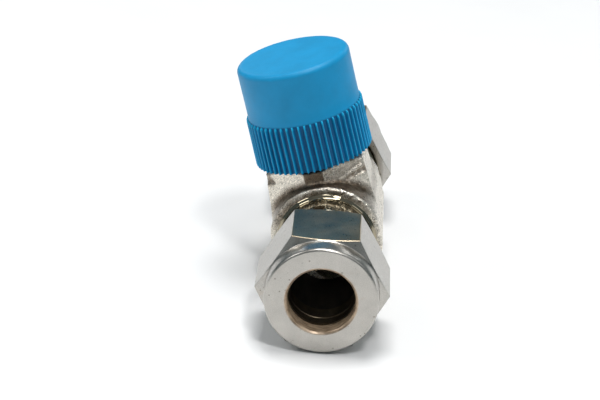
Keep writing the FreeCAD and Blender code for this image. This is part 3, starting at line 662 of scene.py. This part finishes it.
def cap_rings(groove):
    """The cap's skin: down the cavity wall, round the skirt's mouth and up to the middle of the top."""
    rings = [
        (CAVITY, CEILING - 0.6),
        (CAVITY, SKIRT_LOW + 0.25),
        (10.1, SKIRT_LOW + 0.03),
        (10.5, SKIRT_LOW),
    ]
    for inset, lift in ((0.42, 0.0), (0.22, 0.02), (0.10, 0.08), (0.03, 0.17), (0.0, 0.3)):
        rings.append((skirt_radius(SKIRT_LOW) - inset - GROOVE_DEPTH * groove, SKIRT_LOW + lift))
    for z in np.linspace(SKIRT_LOW + 1.0, SKIRT_HIGH - 0.75, 10):
        rings.append((skirt_radius(z) - GROOVE_DEPTH * groove, z))
    for t in np.linspace(0.0, 1.0, 8):
        z = SKIRT_HIGH - RIB_CROWN + RIB_CROWN * math.sin(t * QUARTER)
        swell = skirt_radius(z) - GROOVE_DEPTH * groove - CAP_RADIUS
        rings.append((CAP_RADIUS + 0.02 + swell * math.cos(t * QUARTER) ** 0.8, z))
    for z in (SKIRT_HIGH + 0.05, 27.5, 31.0, CAP_TOP - 1.3):
        rings.append((CAP_RADIUS, z))
    for t in np.linspace(0.0, 1.0, 9):
        out = CAP_RADIUS - CAP_EDGE + CAP_EDGE * math.cos(t * QUARTER)
        rings.append((out, CAP_TOP - CAP_EDGE + CAP_EDGE * math.sin(t * QUARTER)))
    for r in (9.6, 8.0, 5.0, 2.0, 0.02):
        rings.append((r, CAP_TOP))
    return rings


def build_cap():
    angles = full_turn(RIBS * PER_RIB)
    rings = cap_rings(rib_profile(angles))
    points = np.concatenate([stem_ring(np.asarray(r, float), z, angles) for r, z in rings])
    faces = grid_faces(len(rings), len(angles))
    faces.append(tuple(range((len(rings) - 1) * len(angles), len(rings) * len(angles))))
    cap = make_object("handle_cap", points, faces, "handle", ("handle",))
    cap.data.materials.append(AZURE)


def build_hub():
    """The ceiling, hub and webs inside the cap."""
    around = 96
    rings = [
        (0.02, CEILING),
        (HUB_BORE, CEILING),
        (HUB_BORE, HUB_LOW + 0.1),
        (HUB_BORE + 0.1, HUB_LOW),
        (HUB_RADIUS - 0.1, HUB_LOW),
        (HUB_RADIUS, HUB_LOW + 0.1),
        (HUB_RADIUS, CEILING - 0.7),
        (HUB_RADIUS + 0.6, CEILING),
        (CAVITY - 0.6, CEILING),
        (CAVITY, CEILING - 0.6),
        (CAVITY + 0.02, 30.0),
    ]
    points = np.concatenate([stem_ring(r, z, full_turn(around)) for r, z in rings])
    faces = grid_faces(len(rings), around)
    for k in range(WEBS):
        turn = k * 2 * math.pi / WEBS
        ahead = np.array([math.cos(turn), math.sin(turn), 0])
        aside = np.array([-math.sin(turn), math.cos(turn), 0])
        base = len(points)
        corners = [ahead * r + aside * w + np.array([0, 0, z])
                   for z in (28.6, CEILING + 0.1) for w in (-WEB_HALF, WEB_HALF) for r in (5.5, 10.1)]
        points = np.concatenate([points, np.array(corners)])
        faces += [
            (base, base + 1, base + 3, base + 2),
            (base, base + 4, base + 5, base + 1),
            (base + 2, base + 3, base + 7, base + 6),
        ]
    hub = make_object("handle_hub", points, faces, "handle", ())
    hub.data.materials.append(AZURE)


build_cap()
build_hub()


# ---------------------------------------------------------------- body forging

BOSS_TOP = 14.1
BOSS_HALF = 10.95
BOSS_DRAFT = math.radians(4)
NOSE_REACH = 11.0
COS_30 = 0.8660254
CHAMFER_RADIUS = 10.0
CHAMFER_SLOPE = (0.504, 0.864)
BARREL_RADIUS = 11.4
BARREL_HALF = 13.3
BARREL_EDGE = 0.8
BARREL_SIDE = 10.95
BARREL_BASE = 9.75
CORE_RADIUS = 9.3
CORE_REACH = 17.75
TUBE_STOP = 17.2
THROAT_START = 15.2
THROAT_RADIUS = 3.6
THROAT_FLARE = 0.975
PASSAGE_RADIUS = 3.0
PASSAGE_OFFSET = 3.4
PASSAGE_OVERLAP = 1.1
# radius and floor height of the bonnet's bore, the chamber and the orifice
STEM_BORES = ((7.0, 6.7), (5.0, 1.34), (2.4, -3.4))
# start, stop, radius at the start and radius at the stop
FLASH_RIDGE = ((5.2, 8.62, 10.85), (9.3, 6.32, 11.85), 0.30, 0.50)
FLASH_RECESS = ((6.0, 8.50, 10.30), (9.9, 6.25, 10.95), 0.35, 0.62)
CORNER_NOTCH = ((-10.3, 5.75, 12.3), (-8.1, 7.05, 11.6), 1.00, 0.10)
NET_LOW = (-11.9, -18.2, -10.5)
NET_HIGH = (11.9, 18.2, 14.8)
NET_STEP = 0.22


def smooth_min(a, b, k):
    """The smaller of two fields, blended over a width k."""
    h = np.clip(0.5 + 0.5 * (b - a) / k, 0, 1)
    return b * (1 - h) + a * h - k * h * (1 - h)


def smooth_max(a, b, k):
    """The larger of two fields, blended over a width k."""
    return -smooth_min(-a, -b, k)


def rounded_disc(r, y, radius, low, high, edge):
    """A disc about the flow axis with rounded edges."""
    middle, half = (low + high) / 2, (high - low) / 2
    dr = r - (radius - edge)
    dy = np.abs(y - middle) - (half - edge)
    outside = np.sqrt(np.maximum(dr, 0) ** 2 + np.maximum(dy, 0) ** 2)
    return outside + np.minimum(np.maximum(dr, dy), 0) - edge


def lattice_noise(p, cell, seed):
    """Smooth random waviness between -1 and 1 with the given cell size."""
    table = np.random.RandomState(seed).uniform(-1, 1, (32, 32, 32))
    q = p / cell
    low = np.floor(q).astype(int)
    share = q - low
    share = share * share * (3 - 2 * share)
    total = 0.0
    for i in (0, 1):
        for j in (0, 1):
            for k in (0, 1):
                weight = (np.abs(1 - i - share[..., 0]) * np.abs(1 - j - share[..., 1])
                          * np.abs(1 - k - share[..., 2]))
                total = total + weight * table[(low[..., 0] + i) % 32, (low[..., 1] + j) % 32,
                                               (low[..., 2] + k) % 32]
    return total


def capsule(x, y, z, start, stop, first, last):
    """Distance to a rod between two points whose radius runs from first to last."""
    start, stop = np.array(start), np.array(stop)
    course = stop - start
    away = np.stack([x, y, z], -1) - start
    share = np.clip(away @ course / (course @ course), 0, 1)
    return np.linalg.norm(away - share[..., None] * course, axis=-1) - (first + (last - first) * share)


def boss_field(x, y, z):
    """The six-sided boss with a nose over each end, its top chamfer and its forging marks."""
    ax, ay = np.abs(x), np.abs(y)
    stem_r = np.sqrt(x * x + y * y)
    draft = np.clip(z, 0, BOSS_TOP) * math.tan(BOSS_DRAFT)
    half = BOSS_HALF - draft
    boss = smooth_max(ax - half, ax * 0.5 + ay * COS_30 - half, 0.3)
    boss = smooth_max(boss, ay - (NOSE_REACH - draft * 0.5), 0.2)
    boss = smooth_max(boss, z - BOSS_TOP, 0.2)
    chamfer = (stem_r - CHAMFER_RADIUS) * CHAMFER_SLOPE[0] + (z - BOSS_TOP) * CHAMFER_SLOPE[1]
    boss = smooth_max(boss, chamfer, 0.25)
    boss = np.maximum(boss, -2.0 - z)
    boss = smooth_min(boss, capsule(x, ay, z, *FLASH_RIDGE), 0.5)
    boss = smooth_max(boss, -capsule(x, ay, z, *FLASH_RECESS), 0.25)
    return smooth_max(boss, -capsule(x, ay, z, *CORNER_NOTCH), 0.1)


def hollow_field(x, y, z):
    """The drilled inside: tube sockets, throats, passages, bonnet bore, chamber and orifice."""
    ay = np.abs(y)
    flow_r = np.sqrt(x * x + z * z)
    stem_r = np.sqrt(x * x + y * y)
    throat = THROAT_RADIUS + (ay - THROAT_START) * THROAT_FLARE
    cuts = [
        np.maximum(flow_r - BORE, TUBE_STOP - ay),
        np.maximum(flow_r - throat, THROAT_START - ay),
        np.maximum(np.sqrt(x * x + (z + PASSAGE_OFFSET) ** 2) - PASSAGE_RADIUS, y - PASSAGE_OVERLAP),
        np.maximum(np.sqrt(x * x + (z - PASSAGE_OFFSET) ** 2) - PASSAGE_RADIUS, -y),
    ]
    for radius, foot in STEM_BORES:
        cuts.append(np.maximum(stem_r - radius, foot - z))
    hollow = cuts[0]
    for cut in cuts[1:]:
        hollow = np.minimum(hollow, cut)
    return hollow


def body_field(p):
    """Signed distance, in millimetres, to the forging between the two threaded necks."""
    x, y, z = p[..., 0], p[..., 1], p[..., 2]
    ax, ay = np.abs(x), np.abs(y)
    r = np.sqrt(x * x + z * z)
    barrel = rounded_disc(r, y, BARREL_RADIUS, -BARREL_HALF, BARREL_HALF, BARREL_EDGE)
    shape = smooth_min(boss_field(x, y, z), barrel, 1.0)
    shape = smooth_max(shape, ay - BARREL_HALF, 0.5)
    shape = smooth_max(shape, ax - BARREL_SIDE, 0.5)
    shape = smooth_max(shape, -BARREL_BASE - z, 0.7)
    wavy = lattice_noise(p, 1.1, 3) * 0.05 + lattice_noise(p, 0.52, 5) * 0.045
    near_rim = np.clip((ay - 12.0) / 0.8, 0, 1) * np.clip((r - 10.3) / 0.5, 0, 1)
    shape = shape + wavy * (1 + 1.3 * near_rim) + 0.04 + 0.04 * near_rim
    shape = np.minimum(shape, np.maximum(r - CORE_RADIUS, ay - CORE_REACH))
    return np.maximum(shape, -hollow_field(x, y, z))


def surface_net(field, low, high, step):
    """A quad mesh of the field's zero surface."""
    axes = [np.arange(a, b + step, step) for a, b in zip(low, high)]
    grid = np.stack(np.meshgrid(*axes, indexing="ij"), -1)
    value = field(grid)
    inside = value < 0
    cells = tuple(n - 1 for n in value.shape)
    total = np.zeros(cells + (3,))
    count = np.zeros(cells)
    corner = [(i, j, k) for i in (0, 1) for j in (0, 1) for k in (0, 1)]

    def part(array, offset):
        window = tuple(slice(begin, begin + size) for begin, size in zip(offset, cells))
        return array[window]

    for a in corner:
        for axis in range(3):
            if a[axis]:
                continue
            b = tuple(a[n] + (n == axis) for n in range(3))
            va, vb = part(value, a), part(value, b)
            cross = part(inside, a) != part(inside, b)
            share = np.where(cross, va / np.where(cross, va - vb, 1), 0)
            for n in range(3):
                total[..., n] += cross * (a[n] + (share if n == axis else 0))
            count += cross
    used = count > 0
    number = -np.ones(cells, int)
    number[used] = np.arange(used.sum())
    where = np.argwhere(used)
    points = (where + total[used] / count[used][:, None]) * step + np.array(low)
    faces = []
    for axis in range(3):
        b, c = (axis + 1) % 3, (axis + 2) % 3
        first = [slice(None)] * 3
        second = [slice(None)] * 3
        first[axis], second[axis] = slice(0, -1), slice(1, None)
        cross = inside[tuple(first)] != inside[tuple(second)]
        spots = np.argwhere(cross)
        in_b = (spots[:, b] > 0) & (spots[:, b] < cells[b])
        in_c = (spots[:, c] > 0) & (spots[:, c] < cells[c])
        spots = spots[in_b & in_c]
        outward = inside[tuple(first)][tuple(spots.T)]
        quads = []
        for db, dc in ((1, 1), (0, 1), (0, 0), (1, 0)):
            cell = spots.copy()
            cell[:, b] -= db
            cell[:, c] -= dc
            quads.append(number[tuple(cell.T)])
        quads = np.stack(quads, 1)
        quads[~outward] = quads[~outward][:, ::-1]
        faces.append(quads)
    faces = np.concatenate(faces)
    faces = faces[(faces >= 0).all(1)]
    tiny = 0.01
    nudges = tiny * np.eye(3)
    for _ in range(3):
        rises = [field(points + nudge) - field(points - nudge) for nudge in nudges]
        slope = np.stack([rise / (2 * tiny) for rise in rises], 1)
        steep = np.maximum((slope ** 2).sum(1), 0.25)
        move = slope * (field(points) / steep)[:, None]
        points -= np.clip(move, -step / 2, step / 2)
    return points, faces


def build_forging():
    points, faces = surface_net(body_field, NET_LOW, NET_HIGH, NET_STEP)
    forging = make_object("body_forging", points, faces, "valve", ("valve_body",),
                          level=False)
    forging.data.materials.append(FORGED)


PITCH = 1.27
RINGS_PER_PITCH = 12
THREAD_TOP = 9.48
THREAD_ROOT = 8.8
THREAD_STOP = 20.1
NECK_END = 33.4
NECK_BORE_PROFILE = ((BORE, 17.3), (BORE, 23.0), (BORE, 29.9), (7.68, 33.25), (7.76, 33.38))
NECK_END_PROFILE = ((7.9, NECK_END), (8.75, NECK_END))
NECK_PLAIN_PROFILE = (
    (THREAD_ROOT, 20.0),
    (THREAD_ROOT, 19.5),
    (8.9, 19.35),
    (9.3, 19.05),
    (9.38, 18.95),
    (9.40, 18.8),
    (9.40, 14.2),
    (9.42, 13.9),
    (9.5, 13.62),
    (9.68, 13.42),
    (9.95, 13.31),
    (10.05, 13.1),
)


def thread_radius(reach, turn):
    """Radius of the helical thread at a reach; turn is how far each angle has moved along the pitch."""
    phase = np.abs(((reach - turn) / PITCH) % 1.0 - 0.5) * 2
    fall = np.clip((phase - 0.30) / 0.52, 0, 1) * 0.68
    lead_out = np.clip((reach - THREAD_STOP) / 0.8, 0, 1)
    crest = min(THREAD_TOP, 8.85 + (NECK_END - reach) * 1.1)
    ridge = np.maximum(np.minimum(THREAD_TOP - fall, crest), THREAD_ROOT)
    return ridge * lead_out + THREAD_ROOT * (1 - lead_out)


def build_neck(end, side):
    """A neck: tube bore, open end, thread, plain ring and the flare onto the barrel."""
    around = 128
    angles = full_turn(around)
    turn = -side * angles * PITCH / (2 * math.pi)
    rings = list(NECK_BORE_PROFILE) + list(NECK_END_PROFILE)
    for reach in np.arange(33.35, THREAD_STOP, -PITCH / RINGS_PER_PITCH):
        rings.append((thread_radius(reach, turn), reach))
    rings += list(NECK_PLAIN_PROFILE)
    points = np.concatenate([flow_ring(np.asarray(r, float), s, side, angles) for r, s in rings])
    faces = grid_faces(len(rings), around, flip=side < 0)
    neck = make_object(end + "_neck", points, faces, "valve", ())
    neck.data.materials.append(NECK)
    neck.data.materials.append(BORE_SHADE)
    bore_faces = (len(NECK_BORE_PROFILE) - 1) * around
    material_of_face = [1] * bore_faces + [0] * (len(faces) - bore_faces)
    neck.data.polygons.foreach_set("material_index", material_of_face)


build_forging()
for end, side in ENDS:
    build_neck(end, side)


# ---------------------------------------------------------------- floor

FLOOR_HALF = 3.0


def build_floor():
    """A plain pale floor under the nuts' lower flats."""
    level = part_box("inlet_nut")[0].z
    corners = [(x * FLOOR_HALF, y * FLOOR_HALF, level) for x, y in ((-1, -1), (1, -1), (1, 1), (-1, 1))]
    mesh = bpy.data.meshes.new("floor")
    mesh.from_pydata(corners, [], [(0, 1, 2, 3)])
    floor = bpy.data.objects.new("floor", mesh)
    bpy.context.scene.collection.objects.link(floor)
    material, tree, shader = nodes_of("pale_floor")
    paper = ramp(tree, noise(tree, object_coords(tree), 40.0, 3.0), [(0.3, 0.86), (0.7, 0.88)])
    link(tree, paper, shader.inputs["Base Color"])
    shader.inputs["Roughness"].default_value = 0.6
    floor.data.materials.append(material)


build_floor()


# ---------------------------------------------------------------- light

LIGHT_TARGET = Vector((0, 0.03, 0.01))
# name, position and size in metres, power in watts
SOFTBOXES = (
    ("key_box", (0.167, -0.364, 0.807), (0.14, 0.14), 2.7),
    ("over_box", (0.0, 0.14, 0.90), (0.36, 0.30), 5.4),
    ("right_box", (0.62, 0.05, 0.50), (0.30, 0.30), 0.4),
    ("left_box", (-0.58, 0.0, 0.58), (0.25, 0.25), 1.3),
    ("back_left_strip", (-0.42, 0.95, 0.38), (0.12, 0.4), 0.5),
    ("back_right_strip", (0.42, 0.95, 0.38), (0.12, 0.4), 0.7),
)
# sky tones from the horizon up to the zenith
SKY_STOPS = [
    (0.0, (0.75, 0.75, 0.74)),
    (0.03, (0.10, 0.14, 0.155)),
    (0.45, (0.07, 0.10, 0.115)),
    (0.75, (0.14, 0.16, 0.17)),
    (1.0, (0.30, 0.30, 0.30)),
]
FRONT_TONE = (0.75, 0.75, 0.75)


def softbox(name, position, size, power):
    light = bpy.data.lights.new(name, "AREA")
    light.shape = "RECTANGLE"
    light.size, light.size_y = size
    light.energy = power
    lamp = bpy.data.objects.new(name, light)
    lamp.location = position
    lamp.rotation_euler = (LIGHT_TARGET - Vector(position)).to_track_quat("-Z", "Y").to_euler()
    bpy.context.scene.collection.objects.link(lamp)


def build_world():
    """A dim cool sky with a pale horizon and a faint fill from the front."""
    world = bpy.data.worlds.new("studio")
    bpy.context.scene.world = world
    world.use_nodes = True
    tree = world.node_tree
    background = tree.nodes["Background"]
    axes = axes_of(tree, tree.nodes.new("ShaderNodeTexCoord").outputs["Generated"])
    sky = ramp(tree, axes["Z"], SKY_STOPS)
    front = ramp(tree, maths(tree, "MULTIPLY_ADD", axes["Y"], 0.5, 0.5), [(0.15, 0.12), (0.5, 0.0)])
    link(tree, mixed(tree, front, sky, FRONT_TONE), background.inputs["Color"])
    background.inputs["Strength"].default_value = 1.0


for box in SOFTBOXES:
    softbox(*box)
build_world()
bpy.context.scene.view_settings.view_transform = "Standard"


# ---------------------------------------------------------------- camera

AZIMUTH, ELEVATION, ROLL = map(math.radians, (1.473, 23.844, 3.659))
DISTANCE = 0.357269
SENSOR = 36.0
FOCAL_SHARE = 1728.563 / 600
AIM_OFFSET = Vector((-0.006171, 0, 0.002644))


def build_camera():
    """The camera looks along the flow from above the inlet, rolled a little."""
    level_ahead = Vector((-math.sin(AZIMUTH), math.cos(AZIMUTH), 0))
    ahead = level_ahead * math.cos(ELEVATION) - Vector((0, 0, math.sin(ELEVATION)))
    level_right = Vector((math.cos(AZIMUTH), math.sin(AZIMUTH), 0))
    level_up = level_right.cross(ahead)
    right = level_right * math.cos(ROLL) + level_up * math.sin(ROLL)
    up = level_up * math.cos(ROLL) - level_right * math.sin(ROLL)
    lens = bpy.data.cameras.new("camera")
    lens.sensor_width = SENSOR
    lens.lens = FOCAL_SHARE * SENSOR
    lens.clip_start, lens.clip_end = 0.01, 20
    camera = bpy.data.objects.new("camera", lens)
    place = Matrix((right, up, -ahead)).transposed().to_4x4()
    place.translation = CENTRE + AIM_OFFSET - ahead * DISTANCE
    camera.matrix_world = place
    bpy.context.scene.collection.objects.link(camera)
    bpy.context.scene.camera = camera


build_camera()
